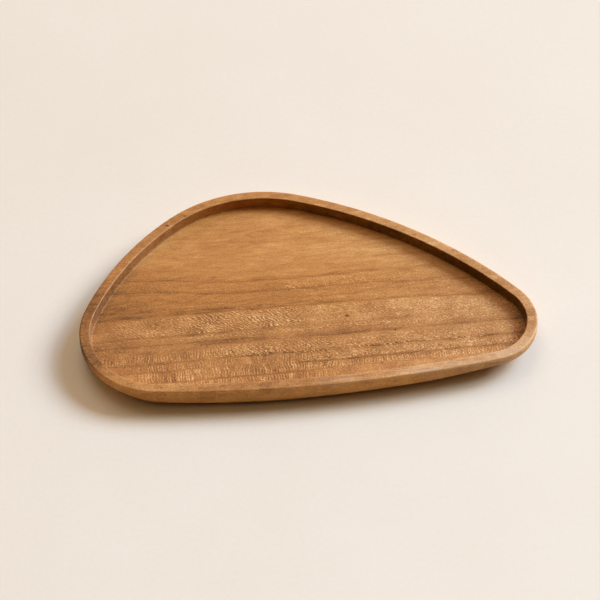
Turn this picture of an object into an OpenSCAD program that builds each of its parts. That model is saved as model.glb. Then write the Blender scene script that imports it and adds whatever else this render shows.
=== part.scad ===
// Coin tray carved from one board, with a flat rim, a shallow pocket
// and three small pads stuck under its corners.
// X runs along the grain and the long side, Y towards the back corner, Z up.
// The origin is on the table, under the middle of the tray.

/* [Outline] */
// Overall length, from the left corner to the right corner
tray_l = 220; // [200:1:260]
// Radius of the left corner
left_r = 38; // [34:0.5:42]
// Radius of the right corner
right_r = 26.5; // [23:0.5:30]
// Radius of the broad back corner
back_r = 69; // [62:0.5:76]
// Direction that the outline faces where the left corner begins, in degrees
left_from = 155; // [153:0.5:157]
// Direction that the outline faces where the front side begins
front_from = 263; // [262:0.5:264]
// Direction that the outline faces where the front side ends
front_to = 278; // [277:0.5:279]
// Direction that the outline faces where the right side begins
side_from = 37.5; // [36:0.5:39]
// Direction that the outline faces where the right side ends
side_to = 69; // [67:0.5:71]
// Direction that the outline faces where the back corner ends
back_to = 127; // [125:0.5:129]

/* [Board] */
// Thickness of the board
board_h = 11; // [9.5:0.1:14]
// Depth of the pocket below the rim
pocket_h = 6; // [5:0.1:7]

/* [Rim] */
// Width of the rim, from the outer side to the pocket
rim_w = 5; // [3.5:0.1:7]
// Lean of the pocket's wall away from upright, in degrees
wall_lean = 3; // [0.5:0.5:10]
// Radius along the foot of the pocket's wall
foot_r = 1; // [0.5:0.1:2]
// Radius on the rim's outer edge
outer_edge_r = 0.8; // [0.4:0.1:1.5]
// Radius on the rim's inner edge
inner_edge_r = 0.4; // [0.2:0.1:0.8]

/* [Underside] */
// Height of the upright band below the rim's outer edge
band_h = 3.4; // [2:0.1:5]
// How far the flat underside is drawn in from the outer side
tuck_w = 6.5; // [4:0.5:10]

/* [Pads] */
// Diameter of a pad
pad_d = 12; // [8:0.5:14]
// Thickness of a pad
pad_h = 1.5; // [1:0.1:3]
// Radius on a pad's lower edge
pad_edge_r = 0.4; // [0.2:0.1:0.6]
// Bare wood between a pad and the edge of the flat underside
pad_margin = 3; // [1:0.5:6]

/* [Hidden] */
$fn = 360;

function facing(a) = [cos(a), sin(a)];
function cross2(p, q) = p.x * q.y - p.y * q.x;

// The outline is six arcs, each tangent to the next. The corners' radii are set,
// and the radii of the long sides follow from the directions in which they meet.
span = tray_l - left_r - right_r;
front_r = (span - left_r * facing(front_from).x + right_r * facing(front_to).x)
    / (facing(front_to).x - facing(front_from).x);
right_step = (front_r - right_r) * facing(front_to) - (front_r - left_r) * facing(front_from);
closing = left_r * facing(left_from) - right_r * facing(side_from)
    + back_r * (facing(side_to) - facing(back_to)) - right_step;
side_turn = facing(side_to) - facing(side_from);
back_turn = facing(left_from) - facing(back_to);
side_r = cross2(closing, back_turn) / cross2(side_turn, back_turn);
long_r = cross2(side_turn, closing) / cross2(side_turn, back_turn);

// Centres of the arcs, as seen from the left corner's centre
front_c = -(front_r - left_r) * facing(front_from);
side_c = right_step - (side_r - right_r) * facing(side_from);
back_c = side_c + (side_r - back_r) * facing(side_to);
long_c = back_c - (long_r - back_r) * facing(back_to);
middle = [(right_step.x + right_r - left_r) / 2, (back_c.y + back_r + front_c.y - front_r) / 2];

// Each arc: centre, radius, direction where it begins, angle that it turns through
LEFT = [-middle, left_r, left_from, front_from - left_from];
FRONT = [front_c - middle, front_r, front_from, front_to - front_from];
RIGHT = [right_step - middle, right_r, front_to, 360 + side_from - front_to];
SIDE = [side_c - middle, side_r, side_from, side_to - side_from];
BACK = [back_c - middle, back_r, side_to, back_to - side_to];
LONG = [long_c - middle, long_r, back_to, left_from - back_to];
ARCS = [LEFT, FRONT, RIGHT, SIDE, BACK, LONG];

// The point on an arc at a share of its turn, drawn in from the outline
function on_arc(arc, share, inset) = arc[0] + (arc[1] - inset) * facing(arc[2] + arc[3] * share);

rim_z = pad_h + board_h;
floor_z = rim_z - pocket_h;
band_z = rim_z - outer_edge_r - band_h;
steps = 6;

// Points round a curve about a centre, from one direction to another
function bend(centre, half_w, half_h, from, to) = [for (i = [0 : steps])
    let (a = from + (to - from) * i / steps)
        centre + [half_w * cos(a), half_h * sin(a)]];

// Half section of the board: how far in from the outer side, and how high
wall_in = rim_w + (pocket_h - foot_r) * tan(wall_lean);
lap = 4;
band_in = max(wall_in + foot_r, tuck_w) + lap;
section = concat(
    [[band_in, pad_h]],
    bend([tuck_w, band_z], tuck_w, band_z - pad_h, 270, 180),
    bend([outer_edge_r, rim_z - outer_edge_r], outer_edge_r, outer_edge_r, 180, 90),
    bend([rim_w - inner_edge_r, rim_z - inner_edge_r], inner_edge_r, inner_edge_r, 90, wall_lean),
    bend([wall_in + foot_r, floor_z + foot_r], foot_r, foot_r, 180 + wall_lean, 270),
    [[band_in, floor_z]]
);

// Moves by whole millimetres, then by the rest in two finer steps, so that no
// digits of a long radius are lost and each arc ends where the next one begins
module place(v) {
    whole = [for (t = v) round(t)];
    part = [for (t = v - whole) round(t * 1e5) / 1e5];
    translate(whole)
        translate(part)
            translate(v - whole - part)
                children();
}

module band(arc) {
    place([arc[0].x, arc[0].y, 0])
        rotate_extrude(angle = arc[3], start = arc[2])
            place([arc[1], 0])
                mirror([1, 0])
                    polygon(section);
}

// The middle of the floor, which reaches half-way into the lap of the bands
module middle_floor() {
    translate([0, 0, pad_h])
        linear_extrude(floor_z - pad_h)
            polygon([for (arc = ARCS) for (i = [0 : steps - 1])
                on_arc(arc, i / steps, band_in - lap / 2)]);
}

module tray_body() {
    color("peru") {
        for (arc = ARCS) band(arc);
        middle_floor();
    }
}

// A disc with a rounded lower edge, under the middle of a corner
module pad(arc) {
    centre = on_arc(arc, 1 / 2, tuck_w + pad_margin + pad_d / 2);
    color("dimgray")
        translate([centre.x, centre.y, 0])
            rotate_extrude()
                polygon(concat(
                    [[0, 0]],
                    bend([pad_d / 2 - pad_edge_r, pad_edge_r], pad_edge_r, pad_edge_r, 270, 360),
                    [[pad_d / 2, pad_h], [0, pad_h]]
                ));
}

module pad_left() pad(LEFT);
module pad_right() pad(RIGHT);
module pad_back() pad(BACK);

tray_body();
pad_left();
pad_right();
pad_back();
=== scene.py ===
import math

import bmesh
import bpy
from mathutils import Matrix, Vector, noise


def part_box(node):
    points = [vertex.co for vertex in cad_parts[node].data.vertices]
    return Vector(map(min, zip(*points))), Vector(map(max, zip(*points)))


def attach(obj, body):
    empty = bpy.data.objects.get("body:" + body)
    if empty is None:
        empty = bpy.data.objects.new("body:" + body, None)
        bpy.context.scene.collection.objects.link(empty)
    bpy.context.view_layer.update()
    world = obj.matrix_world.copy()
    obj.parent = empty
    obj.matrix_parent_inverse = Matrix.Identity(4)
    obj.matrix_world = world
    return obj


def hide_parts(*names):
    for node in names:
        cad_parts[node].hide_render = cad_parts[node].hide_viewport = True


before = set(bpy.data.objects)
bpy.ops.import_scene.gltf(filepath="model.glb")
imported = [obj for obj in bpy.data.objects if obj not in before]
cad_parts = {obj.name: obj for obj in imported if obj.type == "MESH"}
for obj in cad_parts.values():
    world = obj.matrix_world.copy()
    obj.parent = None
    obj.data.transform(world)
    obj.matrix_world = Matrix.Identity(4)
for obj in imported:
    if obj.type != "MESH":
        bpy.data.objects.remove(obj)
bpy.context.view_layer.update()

MM = 0.001

# The outline, in millimetres and degrees: three corners and the directions
# that the outline faces where each of its six arcs begins
LEFT_R = 38.0
RIGHT_R = 26.5
BACK_R = 69.0
LEFT_FROM = 155.0
FRONT_FROM = 263.0
FRONT_TO = 278.0
SIDE_FROM = 37.5
SIDE_TO = 69.0
BACK_TO = 127.0

# The board's section
RIM_W = 5.0
POCKET_H = 6.0
WALL_LEAN = 3.0
FOOT_R = 0.9
OUTER_EDGE_R = 0.8
INNER_EDGE_R = 0.35
BAND_H = 3.4
TUCK_W = 6.5

# Where the hand-shaped underside departs from its usual tuck
FULL_SIDE = 4.6
FULL_SIDE_X = -30.0
FULL_SIDE_W = 80.0
THIN_END = 4.5
THIN_FROM = 50.0
THIN_TO = 100.0
LEFT_THIN_FROM = -70.0
LEFT_THIN_TO = -105.0
ROUND = 2.0
SLIM = 1.25

# Painted shade and light round the outline, the turns in degrees: the pocket's wall gets painted shade, darkest where
# the outline faces this way; the outer side is painted paler
SHADED_WALL_TURN = 32.0
PAINTED_LIGHT_SIDE = 0.61
SHADED_LEFT_EDGE = 0.9
# The pocket's upper edge has a painted highlight where the outline faces this way
HIGHLIT_EDGE_TURN = 148.0
# The floor at the foot of the back wall is painted paler: painted light
PAINTED_LIGHT_BACK_FOOT = 0.5

# Points on the floor beyond the pocket's foot: how far in, and how much painted shade the corner gets there
CORNER_INSETS = [0.9, 2.0, 3.4, 5.4]
CORNER_SHADES = [0.60, 0.45, 0.25, 0.0]

tray_low, tray_high = [Vector(corner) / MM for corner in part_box("tray_body")]
TRAY_L = tray_high.x - tray_low.x
RIM_Z = tray_high.z
BASE_Z = tray_low.z
FLOOR_Z = RIM_Z - POCKET_H


def facing(degrees):
    """The direction in plan that an outline facing that way looks in."""
    return Vector((math.cos(math.radians(degrees)), math.sin(math.radians(degrees))))


def cross(p, q):
    return p.x * q.y - p.y * q.x


def outline_arcs():
    """Six tangent arcs: centre, radius, first and last direction. The long sides' radii close the chain."""
    begin, end = facing(FRONT_FROM), facing(FRONT_TO)
    span = TRAY_L - LEFT_R - RIGHT_R
    front_r = (span - LEFT_R * begin.x + RIGHT_R * end.x) / (end.x - begin.x)
    front_c = -(front_r - LEFT_R) * begin
    right_c = front_c + (front_r - RIGHT_R) * end
    closing = (LEFT_R * facing(LEFT_FROM) - RIGHT_R * facing(SIDE_FROM)
               + BACK_R * (facing(SIDE_TO) - facing(BACK_TO)) - right_c)
    side_turn = facing(SIDE_TO) - facing(SIDE_FROM)
    back_turn = facing(LEFT_FROM) - facing(BACK_TO)
    side_r = cross(closing, back_turn) / cross(side_turn, back_turn)
    long_r = cross(side_turn, closing) / cross(side_turn, back_turn)
    side_c = right_c - (side_r - RIGHT_R) * facing(SIDE_FROM)
    back_c = side_c + (side_r - BACK_R) * facing(SIDE_TO)
    long_c = back_c - (long_r - BACK_R) * facing(BACK_TO)
    middle = Vector(((right_c.x + RIGHT_R - LEFT_R) / 2,
                     (back_c.y + BACK_R + front_c.y - front_r) / 2))
    return [
        (-middle, LEFT_R, LEFT_FROM, FRONT_FROM),
        (front_c - middle, front_r, FRONT_FROM, FRONT_TO),
        (right_c - middle, RIGHT_R, FRONT_TO, 360 + SIDE_FROM),
        (side_c - middle, side_r, 360 + SIDE_FROM, 360 + SIDE_TO),
        (back_c - middle, BACK_R, 360 + SIDE_TO, 360 + BACK_TO),
        (long_c - middle, long_r, 360 + BACK_TO, 360 + LEFT_FROM),
    ]


def stations(spacing=1.4):
    """Points round the outline with the direction that each faces, about evenly spaced."""
    found = []
    for centre, radius, first, last in outline_arcs():
        length = radius * math.radians(last - first)
        count = max(12, round(length / spacing))
        for i in range(count):
            way = facing(first + (last - first) * i / count)
            found.append((centre + radius * way, way))
    return found


def bend(centre, half_w, half_h, first, last, count):
    """Points round a curve in the section, from one direction to another."""
    points = []
    for i in range(count + 1):
        a = math.radians(first + (last - first) * i / count)
        points.append((centre[0] + half_w * math.cos(a), centre[1] + half_h * math.sin(a)))
    return points


def straight(start, end, count):
    """The points strictly between two ends of a straight stretch."""
    return [(start[0] + (end[0] - start[0]) * i / count, start[1] + (end[1] - start[1]) * i / count)
            for i in range(1, count)]


def smooth(value, start, end):
    """0 before start, 1 after end and a smooth step between them."""
    share = min(1.0, max(0.0, (value - start) / (end - start)))
    return share * share * (3 - 2 * share)


def wobble(point, size, seed):
    """A steady small unevenness of a hand-sanded surface, from -1 to 1."""
    return noise.noise(Vector((point.x / size, point.y / size, seed)))


def tuck_at(point, way):
    """How far the underside draws in, and how full its curve is: fullest in front, slimmest at the ends."""
    front = max(0.0, -way.y) ** 2
    full_side = front * math.exp(-((point.x - FULL_SIDE_X) / FULL_SIDE_W) ** 2)
    thin = max(smooth(point.x, THIN_FROM, THIN_TO), smooth(point.x, LEFT_THIN_FROM, LEFT_THIN_TO))
    tuck = TUCK_W - FULL_SIDE * full_side + THIN_END * thin
    return tuck, ROUND + (SLIM - ROUND) * thin


def wall_shade(way):
    """How much painted shade the pocket's wall gets: darkest at the back on the right, light on the left."""
    return 1.25 * smooth(way.dot(facing(SHADED_WALL_TURN)), 0.55, 1.0) + 0.25 * smooth(way.y, 0.3, 0.6) * smooth(-way.x, 0.3, 0.8)


def corner_shade(way):
    """How much painted shade the pocket's corner gets: only at the right end. The back is painted paler, a painted
    light.
    """
    return smooth(way.x, 0.6, 0.95) - PAINTED_LIGHT_BACK_FOOT * smooth(way.y, 0.45, 0.85)


def edge_wear_and_highlight(way):
    """How pale the pocket's upper edge is: worn all round, with a painted highlight most at the back on the left."""
    return 1 + 1.0 * smooth(way.dot(facing(HIGHLIT_EDGE_TURN)), 0.8, 0.98)


def side_shade(point, way):
    """Painted light on the outer side: palest in front, less so on the right, and painted shade along the left edge.
    """
    front = smooth(-way.y, -0.1, 0.7) * (1 - 0.45 * smooth(point.x, 0.0, 80.0))
    return PAINTED_LIGHT_SIDE * front - SHADED_LEFT_EDGE * smooth(-way.x, 0.35, 0.85) * smooth(way.y, -0.65, -0.25)


def under_curve(tuck, fullness, band_z):
    """The underside's curve in the section: a quarter ellipse at fullness 2, nearer a slope below it."""
    points = []
    for i in range(15):
        a = math.radians(90 * i / 14)
        inset = tuck * (1 - math.sin(a) ** (2 / fullness))
        points.append((inset, band_z - (band_z - BASE_Z) * math.cos(a) ** (2 / fullness)))
    return points


def section(tuck, fullness, edge_r):
    """Half section of the board from the flat underside round to the floor: distance in, height."""
    band_z = RIM_Z - OUTER_EDGE_R - BAND_H
    wall_in = RIM_W + (POCKET_H - FOOT_R) * math.tan(math.radians(WALL_LEAN))
    under = under_curve(tuck, fullness, band_z)
    outer_edge = bend((edge_r, RIM_Z - edge_r), edge_r, edge_r, 180, 90, 6)
    inner_edge = bend((RIM_W - INNER_EDGE_R, RIM_Z - INNER_EDGE_R),
                      INNER_EDGE_R, INNER_EDGE_R, 90, WALL_LEAN, 5)
    foot = bend((wall_in + FOOT_R, FLOOR_Z + FOOT_R), FOOT_R, FOOT_R, 180 + WALL_LEAN, 270, 6)
    # Edge wear with a painted highlight, and how far the wall's painted shade, the side's painted light and the
    # corner's painted shade reach, point by point
    worn = ([0.0] * (len(under) + 2) + [0.5, 0.8, 1.0, 1.0, 1.0, 0.8, 0.5]
            + [0.0] * 4 + [0.5, 1.0, 1.0, 1.0, 1.0, 0.5] + [0.0] * (4 + len(foot)))
    wall = [0.0] * (len(worn) - len(foot) - 5) + [1.0] * 8 + [0.7, 0.4, 0.1, 0.0]
    corner = [0.0] * (len(worn) - 4) + [0.2, 0.5, 0.7, 0.7] + CORNER_SHADES
    corner_points = [(wall_in + FOOT_R + inset, FLOOR_Z) for inset in CORNER_INSETS]
    worn += [0.0] * len(corner_points)
    wall += [0.0] * len(corner_points)
    side = [0.0, 0.1, 0.25, 0.4, 0.55, 0.7, 0.85] + [1.0] * 14 + [0.6, 0.3, 0.1]
    side += [0.0] * (len(worn) - len(side))
    points = (under + straight(under[-1], outer_edge[0], 3) + outer_edge
              + straight(outer_edge[-1], inner_edge[0], 5) + inner_edge
              + straight(inner_edge[-1], foot[0], 5) + foot + corner_points)
    return points, worn, wall, side, corner


def new_piece(name, mesh, material):
    """A shown piece in the frame, smooth shaded."""
    piece = bpy.data.objects.new(name, mesh)
    bpy.context.scene.collection.objects.link(piece)
    mesh.materials.append(material)
    for face in mesh.polygons:
        face.use_smooth = True
    return piece


def loop_of(mesh, points):
    return [mesh.verts.new(Vector(p) * MM) for p in points]


def bridge(mesh, lower, upper):
    """Quads between two closed loops of as many points."""
    count = len(lower)
    for i in range(count):
        j = (i + 1) % count
        mesh.faces.new((lower[i], lower[j], upper[j], upper[i]))


def close_flat(mesh, loop, centre, z, rings):
    """Fills a flat middle with rings of quads that shrink towards a centre point."""
    outer = loop
    base = [v.co / MM for v in loop]
    for ring in range(1, rings):
        share = 1 - ring / rings
        inner = loop_of(mesh, [(centre.x + (p.x - centre.x) * share,
                                centre.y + (p.y - centre.y) * share, z) for p in base])
        bridge(mesh, outer, inner)
        outer = inner
    tip = mesh.verts.new(Vector((centre.x, centre.y, z)) * MM)
    for i in range(len(outer)):
        j = (i + 1) % len(outer)
        mesh.faces.new((outer[i], outer[j], tip))


def tray_body(material):
    """The carved board: the section swept round the outline, with its flat floor and underside."""
    mesh = bmesh.new()
    worn_layer = mesh.verts.layers.float.new("worn")
    # The shade attribute: painted shade, and painted light where it is below 0
    shade_layer = mesh.verts.layers.float.new("shade")
    sweep = []
    shades = []
    for p, way in stations():
        # The wall's painted shade, the side's painted light, the corner's painted shade and the edge's wear with a
        # painted highlight
        shades.append((wall_shade(way), side_shade(p, way), corner_shade(way), edge_wear_and_highlight(way)))
        chipped = smooth(-p.x, 20.0, 70.0) * max(0.0, -way.y)
        edge_r = OUTER_EDGE_R * (1 + 0.12 * wobble(p, 9.0, 1.0) + 0.30 * chipped * wobble(p, 2.4, 5.0))
        points, worn, wall, side, corner = section(*tuck_at(p, way), edge_r)
        sweep.append([(p.x - way.x * inset, p.y - way.y * inset, z) for inset, z in points])
    loops = []
    inner_from = worn.index(0.0, worn.index(1.0))
    for k in range(len(worn)):
        ring = loop_of(mesh, [points[k] for points in sweep])
        for vertex, (dark, pale, painted_corner_shade, wear_and_highlight) in zip(ring, shades):
            vertex[worn_layer] = worn[k] * (wear_and_highlight if k >= inner_from else 1.0)
            vertex[shade_layer] = wall[k] * dark - side[k] * pale + corner[k] * painted_corner_shade
        loops.append(ring)
    for lower, upper in zip(loops, loops[1:]):
        bridge(mesh, lower, upper)
    middle = Vector((-5.0, -8.0))
    close_flat(mesh, loops[-1], middle, FLOOR_Z, 14)
    close_flat(mesh, loops[0], middle, BASE_Z, 6)
    bmesh.ops.recalc_face_normals(mesh, faces=mesh.faces)
    data = bpy.data.meshes.new("carved_board")
    mesh.to_mesh(data)
    mesh.free()
    return new_piece("carved_board", data, material)


PAD_EDGE_R = 0.4
PAD_DIMPLE_R = 0.45
PAD_SKIN = 0.05


def pad(name, material):
    """A stick-on rubber foot: a disc with rounded edges and a faint raised ring round its resting face."""
    low, high = [Vector(corner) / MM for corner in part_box(name)]
    centre = (low + high) / 2
    radius = (high.x - low.x) / 2
    top = high.z
    profile = ([(radius - PAD_EDGE_R, top)] + bend((radius - PAD_EDGE_R, top - PAD_EDGE_R / 2),
                                                   PAD_EDGE_R, PAD_EDGE_R / 2, 80, 0, 3)
               + bend((radius - PAD_EDGE_R, low.z + PAD_EDGE_R), PAD_EDGE_R, PAD_EDGE_R, 0, -90, 6)
               + [(radius - 1.6, low.z), (radius - 2.0, low.z + PAD_SKIN * 2), (radius - 2.4, low.z)])
    mesh = bmesh.new()
    loops = []
    sides = 64
    for r, z in profile:
        loops.append(loop_of(mesh, [(centre.x + r * facing(360 * i / sides).x,
                                     centre.y + r * facing(360 * i / sides).y, z)
                                    for i in range(sides)]))
    for lower, upper in zip(loops, loops[1:]):
        bridge(mesh, lower, upper)
    close_flat(mesh, loops[-1], centre, low.z, 5)
    close_flat(mesh, loops[0], centre, top, 4)
    bmesh.ops.recalc_face_normals(mesh, faces=mesh.faces)
    data = bpy.data.meshes.new(name)
    mesh.to_mesh(data)
    mesh.free()
    return new_piece("rubber_" + name, data, material)


class Maker:
    """Short ways to add nodes to one material or node group."""

    def __init__(self, tree):
        self.tree = tree

    def feed(self, socket, value):
        if isinstance(value, bpy.types.NodeSocket):
            self.tree.links.new(value, socket)
        elif value is not None:
            socket.default_value = value

    def add(self, kind, inputs=None, **settings):
        node = self.tree.nodes.new(kind)
        for key, value in settings.items():
            setattr(node, key, value)
        for key, value in (inputs or {}).items():
            self.feed(node.inputs[key], value)
        return node

    def math(self, operation, a, b=None, c=None, clamp=False):
        return self.add("ShaderNodeMath", {0: a, 1: b, 2: c}, operation=operation, use_clamp=clamp).outputs[0]

    def vector(self, operation, a, b=None, c=None):
        return self.add("ShaderNodeVectorMath", {0: a, 1: b, 2: c}, operation=operation).outputs[0]

    def step(self, value, start, end, low=0.0, high=1.0):
        """A smooth step of a value between two ends."""
        return self.add("ShaderNodeMapRange", {"Value": value, "From Min": start, "From Max": end,
                                               "To Min": low, "To Max": high},
                        interpolation_type="SMOOTHSTEP").outputs["Result"]

    def split(self, vector):
        return self.add("ShaderNodeSeparateXYZ", {0: vector}).outputs

    def join(self, x, y, z):
        return self.add("ShaderNodeCombineXYZ", {0: x, 1: y, 2: z}).outputs[0]

    def stretch(self, vector, x, y, z, shift=(0.0, 0.0, 0.0)):
        return self.add("ShaderNodeMapping", {"Vector": vector, "Scale": (x, y, z), "Location": shift}
                        ).outputs[0]

    def noise(self, vector, detail=2.0, roughness=0.5, distortion=0.0):
        """Soft noise round 0.5, one lump to a unit."""
        return self.add("ShaderNodeTexNoise", {"Vector": vector, "Scale": 1.0, "Detail": detail,
                                               "Roughness": roughness, "Distortion": distortion}
                        ).outputs["Fac"]

    def blend(self, share, first, second):
        """From the first colour to the second."""
        node = self.add("ShaderNodeMix", data_type="RGBA", blend_type="MIX")
        self.feed(node.inputs[0], share)
        self.feed(node.inputs[6], first)
        self.feed(node.inputs[7], second)
        return node.outputs[2]

    def ramp(self, value, stops):
        node = self.add("ShaderNodeValToRGB", {"Fac": value})
        band = node.color_ramp
        while len(band.elements) < len(stops):
            band.elements.new(1.0)
        for element, (place, colour) in zip(band.elements, stops):
            element.position = place
            element.color = colour
        return node.outputs["Color"]


def srgb(red, green, blue):
    """A colour given as it shows on a screen, 0 to 255."""
    def line(v):
        v = v / 255
        return v / 12.92 if v <= 0.04045 else ((v + 0.055) / 1.055) ** 2.4
    return (line(red), line(green), line(blue), 1.0)


def new_group(name, inputs, outputs):
    """An empty node group with named sockets: its tree, a maker, its input sockets and its output node."""
    tree = bpy.data.node_groups.new(name, "ShaderNodeTree")
    kinds = {float: "NodeSocketFloat", tuple: "NodeSocketVector"}
    for label, value in inputs.items():
        socket = tree.interface.new_socket(label, in_out="INPUT", socket_type=kinds[type(value)])
        socket.default_value = value
    for label in outputs:
        tree.interface.new_socket(label, in_out="OUTPUT", socket_type="NodeSocketFloat")
    make = Maker(tree)
    return tree, make, make.add("NodeGroupInput").outputs, make.add("NodeGroupOutput").inputs


def use(make, group, **inputs):
    """Places a node group, with its inputs named as in the group, and gives its outputs."""
    node = make.add("ShaderNodeGroup", node_tree=group)
    for label, value in inputs.items():
        make.feed(node.inputs[label.replace("_", " ")], value)
    return node.outputs


# The wood, in millimetres: its heart runs along X, behind and above the board
HEART_Y = 100.0
HEART_Z = 90.0
FAN = 6.0
DROOP = 2.6


def ring_group():
    """Which growth ring a point lies in, told as the ring's place across the tray's floor."""
    tree, make, given, result = new_group("growth_rings", {"Place": (0.0, 0.0, 0.0)}, ["Ring"])
    x, y, z = make.split(given["Place"])[0:3]
    dy = make.math("SUBTRACT", HEART_Y, y)
    dz = make.math("SUBTRACT", HEART_Z, z)
    away = make.math("ADD", make.math("MULTIPLY", dy, dy), make.math("MULTIPLY", dz, dz))
    below = (HEART_Z - FLOOR_Z) ** 2
    flat = make.math("SQRT", make.math("MAXIMUM", make.math("SUBTRACT", away, below), 0.0))
    across = make.math("SUBTRACT", HEART_Y, flat)
    fan = make.math("MULTIPLY", make.step(x, -25.0, -85.0), make.step(across, -9.0, 0.5, 0.0, FAN))
    droop = make.math("MULTIPLY", make.step(x, 30.0, 95.0), make.step(across, -34.0, -14.0, 0.0, DROOP))
    sway = make.noise(make.stretch(given["Place"], 0.035, 0.09, 0.09), 2.0)
    fine = make.noise(make.stretch(given["Place"], 0.16, 0.3, 0.3, (7.0, 0.0, 0.0)), 2.0)
    ring = make.math("ADD", make.math("SUBTRACT", across, fan), droop)
    ring = make.math("ADD", ring, make.math("MULTIPLY", make.math("SUBTRACT", sway, 0.5), 2.0))
    ring = make.math("ADD", ring, make.math("MULTIPLY", make.math("SUBTRACT", fine, 0.5), 1.3))
    make.feed(result["Ring"], ring)
    return tree


def line_group():
    """One dark growth line: a sharp core with a soft shade on one side, between two ends."""
    tree, make, given, result = new_group(
        "growth_line", {"Ring": 0.0, "Along": 0.0, "Middle": 0.0, "Core": 0.5, "Shade": 3.0,
                        "From": -120.0, "To": 120.0, "Fade": 20.0}, ["Line", "Shade"])
    off = make.math("SUBTRACT", given["Ring"], given["Middle"])
    near = make.math("DIVIDE", make.math("ABSOLUTE", off), given["Core"])
    core = make.math("DIVIDE", 1.0, make.math("ADD", 1.0, make.math("MULTIPLY", near, near)))
    side = make.math("DIVIDE", off, given["Shade"])
    band = make.math("MULTIPLY", make.step(side, -0.15, 0.0), make.step(side, 1.0, 0.0))
    begin = make.math("SUBTRACT", given["From"], given["Fade"])
    end = make.math("ADD", given["To"], given["Fade"])
    present = make.math("MULTIPLY", make.step(given["Along"], begin, given["From"]),
                        make.step(given["Along"], end, given["To"]))
    make.feed(result["Line"], make.math("MULTIPLY", core, present))
    make.feed(result["Shade"], make.math("MULTIPLY", band, present))
    return tree


# Each growth line: its place across the floor, its strength, the half width of its core, the strength and
# width of the shade behind it, and where along the board it begins and ends
GROWTH_LINES = [
    (55.0, 0.35, 0.8, 0.15, 5.0, -120, 120),
    (42.5, 0.25, 0.6, 0.15, 4.0, -20, 20),
    (30.4, 0.85, 0.35, 0.10, 2.0, 33, 41),
    (24.5, 0.35, 0.4, 0.15, 3.0, -62, -58),
    (19.6, 0.45, 0.4, 0.20, 3.0, 30, 50),
    (15.8, 0.20, 0.5, 0.10, 2.0, -60, 10),
    (9.6, 0.75, 0.5, 0.60, 3.2, -120, 50),
    (2.1, 0.60, 0.5, 0.55, 3.5, -120, 100),
    (-3.6, 0.20, 0.6, 0.20, 2.5, -60, 60),
    (-7.0, 0.45, 0.5, 0.55, 2.0, -120, -40),
    (-8.4, 0.95, 0.5, 0.70, 3.2, -120, 110),
    (-16.0, 0.30, 0.5, 0.10, 2.0, -20, 40),
    (-21.6, 0.75, 0.4, 0.45, 1.8, -120, 40),
    (-26.4, 0.95, 0.35, 0.35, 2.0, -120, -40),
    (-28.4, 0.25, 0.5, 1.05, 4.2, -45, 110),
    (-37.7, 0.65, 0.45, 0.40, 1.6, -120, -48),
    (-37.7, 1.30, 0.9, 1.05, 2.2, -26, 110),
    (-42.6, 0.70, 0.35, 0.15, 1.5, -95, -72),
    (-44.2, 1.10, 0.8, 0.75, 1.8, 2, 100),
    (-49.6, 0.85, 0.35, 0.20, 1.5, -82, -15),
    (-56.5, 0.40, 0.6, 0.30, 3.0, -120, 120),
    (-61.0, 0.50, 0.6, 0.30, 2.0, -120, 120),
]

# Strips of ray flecks in front: their edges across the floor, where they begin and end along the board,
# and how strong their upright ribbons, curls and grains are
FLECK_STRIPS = [
    (6.5, 2.6, -5, 30, (0.0, 0.15, 0.50)),
    (9.0, -8.6, -105, 110, (0.0, 0.05, 0.22)),
    (9.0, -8.6, 5, 110, (0.0, 0.05, 0.25)),
    (-8.8, -21.0, -48, -12, (0.0, 0.90, 0.10)),
    (-9.2, -21.0, -86, -62, (0.0, 0.42, 0.15)),
    (-8.9, -20.5, -5, 110, (0.0, 0.05, 0.45)),
    (-21.8, -24.8, -55, 110, (0.0, 0.25, 0.65)),
    (-30.0, -37.2, -40, 0, (0.30, 0.60, 0.40)),
    (-31.0, -36.8, -95, -45, (0.70, 0.0, 0.0)),
    (-30.8, -36.4, 5, 110, (0.0, 0.10, 0.60)),
    (-36.4, -39.0, -30, 75, (0.0, 0.50, 0.60)),
    (-38.0, -42.6, -80, -5, (0.66, 0.0, 0.0)),
    (-39.2, -43.6, 0, 110, (0.25, 0.0, 1.15)),
    (-42.6, -49.4, -78, -8, (0.95, 0.0, 0.0)),
    (-44.2, -48.6, -5, 100, (0.90, 0.0, 0.45)),
    (-49.8, -56.0, -78, 5, (0.85, 0.0, 0.0)),
]
FRONT_FLECKS = (0.0, 0.12, 0.50)

# Zones across the floor that are lighter or darker as a whole: their edges and how much
ZONES = [
    (9.0, -8.4, -0.045),
    (-8.4, -21.4, 0.0),
    (-21.4, -37.6, -0.085),
    (-37.6, -62.0, -0.09),
]
LANE_H = 6.6
LANE_FROM = -42.6


def strip_group():
    """Inside a strip along the grain: 1 between two rings and two ends, with soft borders."""
    tree, make, given, result = new_group(
        "fleck_strip", {"Ring": 0.0, "Along": 0.0, "Upper": 0.0, "Lower": 0.0, "From": 0.0, "To": 0.0,
                        "Soft": 0.7, "Fade": 14.0}, ["Strip"])
    inside = make.math("MULTIPLY",
                       make.step(given["Ring"], given["Upper"], make.math("SUBTRACT", given["Upper"], given["Soft"])),
                       make.step(given["Ring"], given["Lower"], make.math("ADD", given["Lower"], given["Soft"])))
    begin = make.math("SUBTRACT", given["From"], given["Fade"])
    end = make.math("ADD", given["To"], given["Fade"])
    along = make.math("MULTIPLY", make.step(given["Along"], begin, given["From"]),
                      make.step(given["Along"], end, given["To"]))
    make.feed(result["Strip"], make.math("MULTIPLY", inside, along))
    return tree


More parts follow.
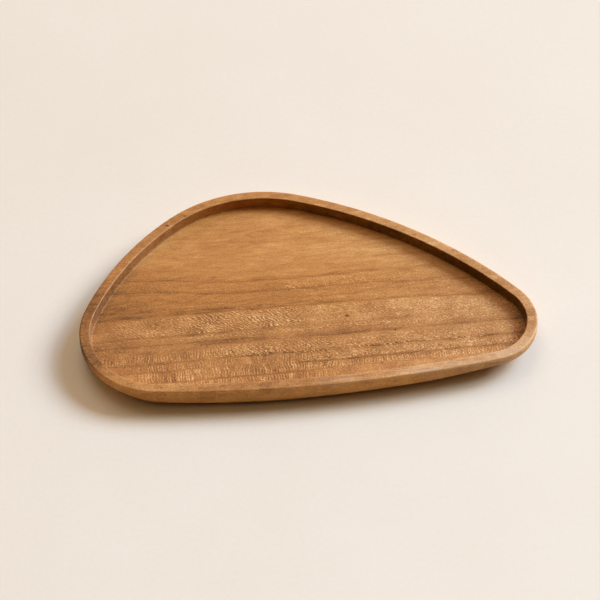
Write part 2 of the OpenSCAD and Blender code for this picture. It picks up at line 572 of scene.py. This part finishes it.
def fleck_group():
    """Ray flecks, round 0: upright ribbons that break from lane to lane, fingerprint curls and fine grains."""
    tree, make, given, result = new_group(
        "ray_flecks", {"Place": (0.0, 0.0, 0.0), "Ring": 0.0, "Strength": (0.0, 0.0, 1.0)}, ["Fleck"])
    place = given["Place"]
    x, y, z = make.split(place)[0:3]
    ribbon_share, curl_share, grain_share = make.split(given["Strength"])[0:3]

    lane = make.math("SNAP", make.math("SUBTRACT", given["Ring"], LANE_FROM), LANE_H)
    swing = make.noise(make.stretch(place, 0.09, 0.15, 0.15, (3.0, 1.0, 0.0)), 3.0, 0.55)
    moved = make.math("ADD", make.math("MULTIPLY_ADD", lane, 7.3, x), make.math("MULTIPLY", swing, 5.0))
    waves = make.math("SINE", make.math("MULTIPLY", moved, 2 * math.pi / 1.3))
    tall = make.math("MULTIPLY", y, 0.12)
    swell = make.noise(make.join(make.math("MULTIPLY", moved, 0.22), tall, z), 2.0, 0.5)
    strokes = make.noise(make.join(make.math("MULTIPLY", moved, 0.85), tall, z), 2.0, 0.6)
    ribbons = make.math("MULTIPLY", waves, make.step(swell, 0.35, 0.65, 0.4, 0.95))
    ribbons = make.math("MULTIPLY_ADD", make.math("SUBTRACT", strokes, 0.48), 4.5, ribbons)

    slant = make.math("ADD", make.math("MULTIPLY", x, 3.0), make.math("MULTIPLY", y, 3.5))
    curl = make.noise(make.stretch(place, 0.15, 0.28, 0.28, (1.0, 4.0, 0.0)), 3.0, 0.55)
    slant = make.math("ADD", slant, make.math("MULTIPLY", curl, 27.0))
    uneven = make.noise(make.stretch(place, 0.7, 0.9, 0.9, (3.0, 3.0, 0.0)), 2.0)
    curls = make.math("MULTIPLY", make.math("SINE", slant), make.step(uneven, 0.3, 0.7, 0.3, 1.8))

    grains = make.noise(make.stretch(place, 1.05, 1.6, 1.6, (5.0, 2.0, 0.0)), 2.0, 0.8, 0.7)
    grains = make.math("MULTIPLY", make.math("SUBTRACT", grains, 0.49), 6.5)

    total = make.math("MULTIPLY", ribbons, ribbon_share)
    total = make.math("MULTIPLY_ADD", curls, curl_share, total)
    total = make.math("MULTIPLY_ADD", grains, grain_share, total)
    make.feed(result["Fleck"], make.math("MAXIMUM", total, make.math("MULTIPLY", total, 0.6)))
    return tree


# Small dark specks seen from above: place in plan, radius and strength
# Pale colour of the rubbed streaks on the rim and of the painted highlight on the pocket's edge
RUBBED_AND_HIGHLIGHT = srgb(206, 168, 140)
SPECKS = [
    (19.6, -17.7, 0.75, 1.0),
    (45.8, -17.2, 0.35, 0.8),
    (48.8, -20.8, 0.30, 0.5),
    (42.7, -21.8, 0.30, 0.6),
    (41.5, -29.1, 0.55, 0.6),
    (21.4, -30.3, 0.35, 0.5),
    (24.6, -45.2, 0.45, 0.6),
    (32.7, -48.8, 0.35, 0.6),
    (91.2, -19.2, 0.40, 0.7),
    (-85.1, -32.7, 0.35, 0.8),
    (-99.0, -32.6, 0.30, 0.6),
    (-62.5, -45.6, 0.40, 0.5),
    (-19.3, -47.6, 0.50, 0.6),
    (-16.4, -54.7, 0.35, 0.6),
    (-25.6, -8.6, 0.45, 0.6),
    (-21.6, -6.4, 1.10, 0.25),
    (-6.6, 1.7, 0.45, 0.6),
    (-45.9, -10.8, 0.35, 0.5),
    (-42.9, 13.8, 1.30, 0.22),
    (-53.8, 42.0, 0.35, 0.5),
    (-62.7, 45.4, 0.65, 0.8),
    (-53.3, 50.9, 0.70, 0.35),
    (58.7, 25.5, 0.85, 0.35),
    (-99.9, -4.1, 0.60, 0.8),
]


def speck_group():
    """A soft round spot in plan."""
    tree, make, given, result = new_group(
        "speck", {"Place": (0.0, 0.0, 0.0), "Centre": (0.0, 0.0, 0.0), "Radius": 0.5}, ["Speck"])
    off = make.vector("SUBTRACT", given["Place"], given["Centre"])
    flat = make.vector("MULTIPLY", off, (0.8, 1.15, 0.0))
    away = make.add("ShaderNodeVectorMath", {0: flat}, operation="LENGTH").outputs["Value"]
    share = make.math("DIVIDE", away, given["Radius"])
    make.feed(result["Speck"], make.step(share, 1.5, 0.4))
    return tree


def tray_wood():
    """Oiled wood with growth lines, ray flecks in front, soft figure behind, pores, worn edges with a painted
    highlight, and painted shade and light.
    """
    material = bpy.data.materials.new("tray_wood")
    material.use_nodes = True
    make = Maker(material.node_tree)
    shader = material.node_tree.nodes["Principled BSDF"]
    metres = make.add("ShaderNodeTexCoord").outputs["Object"]
    place = make.stretch(metres, 1000.0, 1000.0, 1000.0)
    x, y, z = make.split(place)[0:3]
    ring = use(make, ring_group(), Place=place)["Ring"]

    # Ray flecks, strip by strip; off the pocket's floor they are fainter
    strip = strip_group()
    in_front = make.step(ring, -8.0, -9.5)
    pale_front = make.step(ring, -6.0, -15.0)
    strengths = make.vector("MULTIPLY", in_front, FRONT_FLECKS)
    for upper, lower, first, last, shares in FLECK_STRIPS:
        inside = use(make, strip, Ring=ring, Along=x, Upper=upper, Lower=lower, From=float(first),
                     To=float(last))["Strip"]
        strengths = make.vector("MULTIPLY_ADD", inside, shares, strengths)
    patchy = make.noise(make.stretch(place, 0.07, 0.30, 0.30, (8.0, 3.0, 0.0)), 3.0, 0.6)
    patchy = make.step(patchy, 0.35, 0.65, 0.65, 1.3)
    flecks = use(make, fleck_group(), Place=place, Ring=ring, Strength=strengths)["Fleck"]
    sunk = make.step(z, FLOOR_Z + 0.6, FLOOR_Z + 2.0, 1.0, 0.3)
    flecks = make.math("MULTIPLY", make.math("MULTIPLY", flecks, patchy), sunk)
    lane = make.math("SNAP", make.math("SUBTRACT", ring, LANE_FROM), LANE_H)
    blocks = make.noise(make.join(make.math("MULTIPLY", x, 0.075), make.math("MULTIPLY", lane, 1.7), 0.0), 2.0, 0.55)
    blocks = make.math("MULTIPLY", make.math("SUBTRACT", blocks, 0.5), in_front)

    # Dark growth lines, a little uneven along their length and jagged where the flecks are strong
    line = line_group()
    jagged = make.math("MULTIPLY_ADD", flecks, 0.45, ring)
    unsteady = make.step(make.noise(make.stretch(place, 0.10, 0.5, 0.5, (2.0, 5.0, 1.0)), 3.0, 0.6), 0.3, 0.7,
                         0.45, 1.3)
    dark = 0.0
    for middle, strength, core, shade, width, first, last in GROWTH_LINES:
        parts = use(make, line, Ring=jagged, Along=x, Middle=middle, Core=core, Shade=width,
                    From=float(first), To=float(last))
        dark = make.math("MULTIPLY_ADD", parts["Line"], strength, dark)
        dark = make.math("MULTIPLY_ADD", parts["Shade"], shade, dark)
    dark = make.math("MULTIPLY", dark, unsteady)
    dark = make.math("MULTIPLY", dark, make.step(z, FLOOR_Z + 0.5, FLOOR_Z + 2.0, 1.0, 0.28))

    # Dark specks: the ones that stand out, and a scatter of pinpricks
    speck = speck_group()
    spots = 0.0
    for spot_x, spot_y, radius, strength in SPECKS:
        found = use(make, speck, Place=place, Centre=(spot_x, spot_y, 0.0), Radius=radius)["Speck"]
        spots = make.math("MULTIPLY_ADD", found, strength, spots)
    prick = make.add("ShaderNodeTexVoronoi", {"Vector": make.stretch(place, 0.16, 0.22, 0.22), "Scale": 1.0})
    chosen = make.step(make.split(prick.outputs["Color"])[0], 0.62, 0.95)
    pricks = make.math("MULTIPLY", make.step(prick.outputs["Distance"], 0.075, 0.03), chosen)
    spots = make.math("MULTIPLY_ADD", pricks, 0.38, spots)
    steep = make.math("MULTIPLY", make.step(z, FLOOR_Z + 0.2, FLOOR_Z + 0.6), make.step(z, RIM_Z - 0.2, RIM_Z - 0.6))
    spots = make.math("MULTIPLY", spots, make.math("SUBTRACT", 1.0, steep))

    # Fibres, pores, soft figure in the smooth zone and long tone changes
    fibres = make.noise(make.stretch(place, 0.05, 0.9, 0.9), 5.0, 0.6)
    hairs = make.noise(make.stretch(place, 0.55, 3.0, 3.0, (4.0, 0.0, 2.0)), 2.0, 0.7)
    pores = make.noise(make.stretch(place, 1.3, 1.7, 1.7, (6.0, 1.0, 8.0)), 2.0, 0.8)
    figure = make.noise(make.stretch(place, 0.085, 0.36, 0.36, (1.5, 6.0, 3.0)), 4.0, 0.62, 0.8)
    cloud = make.noise(make.stretch(place, 0.018, 0.06, 0.06, (5.0, 5.0, 0.0)), 2.0)
    smooth_zone = make.math("SUBTRACT", 1.0, in_front)

    rim = make.step(z, RIM_Z - 1.5, RIM_Z - 0.5)
    tone = make.step(x, -100.0, 95.0, 0.48, 0.64)
    tone = make.math("ADD", tone, make.step(ring, 5.0, 26.0, 0.0, 0.12))
    tone = make.math("ADD", tone, make.step(ring, 28.0, 36.0, 0.0, -0.06))
    for upper, lower, lift in ZONES:
        zone = use(make, strip, Ring=ring, Along=x, Upper=upper, Lower=lower, From=-120.0, To=120.0,
                   Soft=3.0)["Strip"]
        tone = make.math("MULTIPLY_ADD", zone, lift, tone)
    tone = make.math("ADD", tone, make.step(x, -70.0, -92.0, 0.0, -0.06))
    tone = make.math("ADD", tone, make.math("MULTIPLY", rim, make.step(x, -92.0, -104.0, 0.0, -0.14)))
    near_left = make.math("MULTIPLY", make.step(ring, -35.0, -44.0), make.step(x, -15.0, -55.0))
    tone = make.math("MULTIPLY_ADD", near_left, 0.09, tone)
    tone = make.math("MULTIPLY_ADD", dark, -0.18, tone)
    for pattern, amount in [(fibres, 0.24), (hairs, 0.45), (cloud, 0.20)]:
        tone = make.math("MULTIPLY_ADD", make.math("SUBTRACT", pattern, 0.5), amount, tone)
    grain = make.math("MULTIPLY", make.math("SUBTRACT", pores, 0.5), make.step(ring, 18.0, 6.0, 0.75, 1.1))
    tone = make.math("ADD", tone, grain)
    tone = make.math("MULTIPLY_ADD", flecks, 0.30, tone)
    tone = make.math("MULTIPLY_ADD", blocks, 0.65, tone)
    soft = make.math("MULTIPLY", make.math("SUBTRACT", figure, 0.5), smooth_zone)
    tone = make.math("MULTIPLY_ADD", soft, 0.62, tone)
    # Pale blotches on the floor behind: a painted sheen of the wood's figure
    painted_sheen_blotch = make.noise(make.stretch(place, 0.034, 0.14, 0.14, (2.5, 1.0, 4.0)), 3.0, 0.6, 0.9)
    painted_sheen_blotch = make.math("MULTIPLY", make.step(painted_sheen_blotch, 0.50, 0.72), make.step(ring, 12.0, 26.0))
    tone = make.math("MULTIPLY_ADD", make.math("MULTIPLY", painted_sheen_blotch, sunk), 0.12, tone)
    tone = make.math("MULTIPLY_ADD", make.math("MULTIPLY", rim, make.step(ring, 5.0, 32.0)), -0.07, tone)
    rim_in_front = make.math("MULTIPLY", rim, make.step(ring, -36.0, -44.0))
    tone = make.math("MULTIPLY_ADD", rim_in_front, make.step(x, 0.0, 60.0, 0.06, 0.17), tone)
    mottle = make.noise(make.stretch(place, 0.22, 0.40, 0.40, (9.0, 2.0, 6.0)), 3.0, 0.65)
    uneven_rim = make.math("SUBTRACT", mottle, 0.52)
    tone = make.math("MULTIPLY_ADD", make.math("MULTIPLY", uneven_rim, rim), 0.55, tone)
    tone = make.math("MULTIPLY_ADD", make.math("MULTIPLY", uneven_rim, steep), 0.45, tone)
    # Edge wear with a painted highlight, then painted shade and painted light from the board's shade attribute
    worn = make.add("ShaderNodeAttribute", attribute_name="worn").outputs["Fac"]
    tone = make.math("MULTIPLY_ADD", worn, 0.10, tone)
    shade = make.add("ShaderNodeAttribute", attribute_name="shade").outputs["Fac"]
    tone = make.math("MULTIPLY_ADD", shade, -0.48, tone)
    tone = make.math("MULTIPLY_ADD", spots, -0.75, tone)

    golden = make.ramp(tone, [(0.0, srgb(98, 59, 20)), (0.25, srgb(147, 92, 40)), (0.5, srgb(181, 118, 57)),
                              (0.75, srgb(205, 144, 78)), (1.0, srgb(232, 184, 122))])
    pale = make.ramp(tone, [(0.0, srgb(102, 67, 40)), (0.25, srgb(148, 100, 62)), (0.5, srgb(180, 130, 84)),
                            (0.75, srgb(204, 156, 110)), (1.0, srgb(232, 192, 148))])
    # Colours for the painted light on the outer side and the painted shade on the pocket's wall
    painted_light_orange = make.ramp(tone, [(0.0, srgb(104, 59, 22)), (0.5, srgb(186, 119, 54)), (1.0, srgb(236, 168, 92))])
    painted_shade_umber = make.ramp(tone, [(0.0, srgb(92, 62, 16)), (0.5, srgb(176, 126, 52)), (1.0, srgb(228, 186, 110))])
    greyer = make.math("MULTIPLY_ADD", pale_front, 0.22, make.step(x, 0.0, 90.0, 0.0, 0.22))
    greyer = make.math("MULTIPLY_ADD", rim, make.step(x, -60.0, 60.0, 0.1, 0.30), greyer)
    greyer = make.math("ADD", greyer, make.step(ring, 5.0, 32.0, 0.0, 0.05))
    greyer = make.math("MULTIPLY_ADD", steep, make.step(x, -40.0, -80.0, 0.0, 0.5), greyer)
    greyer = make.math("MULTIPLY_ADD", make.math("MAXIMUM", flecks, 0.0), 0.08, greyer)
    colour = make.blend(make.math("MINIMUM", greyer, 1.0), golden, pale)
    # Painted light on the outer side turns orange, painted shade on the wall umber
    at_right = make.step(x, 40.0, 95.0, 1.0, 0.35)
    colour = make.blend(make.math("MULTIPLY", make.step(shade, -0.1, -0.4), at_right), colour, painted_light_orange)
    colour = make.blend(make.step(shade, 0.3, 0.8), colour, painted_shade_umber)
    streaks = make.noise(make.stretch(place, 0.05, 0.9, 0.9, (3.0, 7.0, 5.0)), 3.0, 0.6)
    rubbed = make.math("MULTIPLY", make.step(streaks, 0.45, 0.65), make.step(ring, -36.0, -46.0))
    rubbed = make.math("MULTIPLY", make.math("MULTIPLY", rubbed, rim), make.step(x, -25.0, 30.0, 0.0, 0.75))
    colour = make.blend(rubbed, colour, RUBBED_AND_HIGHLIGHT)
    # Painted highlight along the pocket's upper edge, where its wear is raised above 1
    colour = make.blend(make.step(worn, 1.0, 2.0, 0.0, 0.45), colour, RUBBED_AND_HIGHLIGHT)
    make.feed(shader.inputs["Base Color"], colour)
    shader.inputs["Specular IOR Level"].default_value = 0.3
    roughness = make.math("ADD", 0.55, make.math("MULTIPLY", make.math("SUBTRACT", fibres, 0.5), 0.25))
    make.feed(shader.inputs["Roughness"], roughness)
    relief = make.math("ADD", make.math("MULTIPLY", hairs, 0.6), make.math("MULTIPLY", flecks, 0.15))
    bump = make.add("ShaderNodeBump", {"Height": relief, "Strength": 0.25, "Distance": 0.00012})
    make.feed(shader.inputs["Normal"], bump.outputs["Normal"])
    return material


def pad_rubber():
    """Matt dark rubber with a fine moulded texture."""
    material = bpy.data.materials.new("pad_rubber")
    material.use_nodes = True
    make = Maker(material.node_tree)
    shader = material.node_tree.nodes["Principled BSDF"]
    place = make.stretch(make.add("ShaderNodeTexCoord").outputs["Object"], 1000.0, 1000.0, 1000.0)
    mottle = make.noise(make.stretch(place, 0.5, 0.5, 0.5), 3.0)
    pebble = make.noise(make.stretch(place, 4.0, 4.0, 4.0), 2.0)
    make.feed(shader.inputs["Base Color"], make.blend(mottle, srgb(44, 41, 38), srgb(62, 58, 54)))
    make.feed(shader.inputs["Roughness"], make.step(mottle, 0.2, 0.8, 0.72, 0.88))
    bump = make.add("ShaderNodeBump", {"Height": pebble, "Strength": 0.4, "Distance": 0.00008})
    make.feed(shader.inputs["Normal"], bump.outputs["Normal"])
    return material


def table_paper():
    """Cream paper with a faint unevenness, a little lighter towards the front."""
    material = bpy.data.materials.new("table_paper")
    material.use_nodes = True
    make = Maker(material.node_tree)
    shader = material.node_tree.nodes["Principled BSDF"]
    place = make.stretch(make.add("ShaderNodeTexCoord").outputs["Object"], 1000.0, 1000.0, 1000.0)
    broad = make.noise(make.stretch(place, 0.012, 0.012, 0.012), 3.0, 0.6)
    fine = make.noise(make.stretch(place, 0.45, 0.45, 0.45), 2.0, 0.7)
    tone = make.step(make.split(place)[1], 220.0, -220.0, 0.05, 0.85)
    tone = make.math("MULTIPLY_ADD", make.math("SUBTRACT", broad, 0.5), 0.9, tone)
    tone = make.math("MULTIPLY_ADD", make.math("SUBTRACT", fine, 0.5), 0.8, tone)
    make.feed(shader.inputs["Base Color"], make.blend(tone, srgb(*PAPER_DIM), srgb(*PAPER_LIGHT)))
    shader.inputs["Roughness"].default_value = 0.9
    return material


board = tray_body(tray_wood())
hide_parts("tray_body")
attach(board, "root")

rubber = pad_rubber()
for name in ["pad_left", "pad_right", "pad_back"]:
    foot = pad(name, rubber)
    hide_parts(name)
    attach(foot, "root")


# Camera, from a fit of the outline to the photograph
VIEW_ELEVATION = 49.386
TRAY_TURN = 6.472
SHIFT_ON_TABLE = Vector((1.338, 10.583))
FOCAL_IN_FRAMES = 2500 / 600
MM_PER_PIXEL = 0.48411
SENSOR = 36.0


# Studio lamps: direction and apparent width in degrees, power in watts and colour; all are far off
LAMPS_AWAY = 5.0
LAMPS = [
    ("key", 16.0, 31.0, 23.0, 190.0, (0.915, 0.99, 0.985)),
    ("cool", 33.0, 37.0, 23.0, 154.0, (0.45, 0.69, 1.0)),
    ("back", 104.0, 57.0, 40.0, 54.0, (1.0, 0.86, 0.80)),
]
FILL_IN_FRONT = (0.0, 0.0, 0.0, 1.0)
FILL_BEHIND = (0.72, 0.50, 0.24, 1.0)
PAPER_DIM = (234, 224, 213)
PAPER_LIGHT = (241, 233, 225)


def make_camera():
    """The camera at the photograph's viewing angle, aimed at a point in the rim's plane."""
    turn = math.radians(-TRAY_TURN)
    tilt = math.radians(VIEW_ELEVATION)
    distance = FOCAL_IN_FRAMES * 600 * MM_PER_PIXEL

    def to_tray(x, y):
        x, y = x - SHIFT_ON_TABLE.x, y - SHIFT_ON_TABLE.y
        return (x * math.cos(turn) - y * math.sin(turn), x * math.sin(turn) + y * math.cos(turn))

    aim = Vector((*to_tray(0, 0), RIM_Z))
    spot = Vector((*to_tray(0, -distance * math.cos(tilt)), RIM_Z + distance * math.sin(tilt)))
    data = bpy.data.cameras.new("camera")
    data.sensor_width = SENSOR
    data.lens = SENSOR * FOCAL_IN_FRAMES
    camera = bpy.data.objects.new("camera", data)
    bpy.context.scene.collection.objects.link(camera)
    camera.location = spot * MM
    camera.rotation_euler = (aim - spot).to_track_quat("-Z", "Y").to_euler()
    bpy.context.scene.camera = camera


def make_floor():
    mesh = bpy.data.meshes.new("floor")
    half = 6.0
    mesh.from_pydata([(-half, -half, 0), (half, -half, 0), (half, half, 0), (-half, half, 0)],
                     [], [(0, 1, 2, 3)])
    floor = bpy.data.objects.new("floor", mesh)
    bpy.context.scene.collection.objects.link(floor)
    mesh.materials.append(table_paper())


def make_lights():
    """Two soft lamps low on the right, warm and cool, a weak one and a warm fill that come from behind."""
    world = bpy.data.worlds.new("studio")
    world.use_nodes = True
    make = Maker(world.node_tree)
    way = make.split(make.add("ShaderNodeTexCoord").outputs["Generated"])
    fill = world.node_tree.nodes["Background"]
    make.feed(fill.inputs["Color"], make.blend(make.step(way[1], -0.8, 0.8), FILL_IN_FRONT, FILL_BEHIND))
    backdrop = make.add("ShaderNodeBackground", {"Color": srgb(*PAPER_LIGHT), "Strength": 1.0})
    seen = make.add("ShaderNodeLightPath").outputs["Is Camera Ray"]
    mix = make.add("ShaderNodeMixShader", {0: seen, 1: fill.outputs[0], 2: backdrop.outputs[0]})
    make.feed(world.node_tree.nodes["World Output"].inputs["Surface"], mix.outputs[0])
    bpy.context.scene.world = world
    for name, turn, tilt, width, power, colour in LAMPS:
        lamp = bpy.data.lights.new(name, "AREA")
        lamp.shape = "DISK"
        lamp.size = 2 * LAMPS_AWAY * math.tan(math.radians(width / 2))
        lamp.energy = power
        lamp.color = colour
        piece = bpy.data.objects.new(name, lamp)
        bpy.context.scene.collection.objects.link(piece)
        level = LAMPS_AWAY * math.cos(math.radians(tilt))
        piece.location = (level * facing(turn).x, level * facing(turn).y,
                          LAMPS_AWAY * math.sin(math.radians(tilt)))
        piece.rotation_euler = (-piece.location).to_track_quat("-Z", "Y").to_euler()


make_camera()
make_floor()
make_lights()
bpy.context.scene.view_settings.view_transform = "Standard"
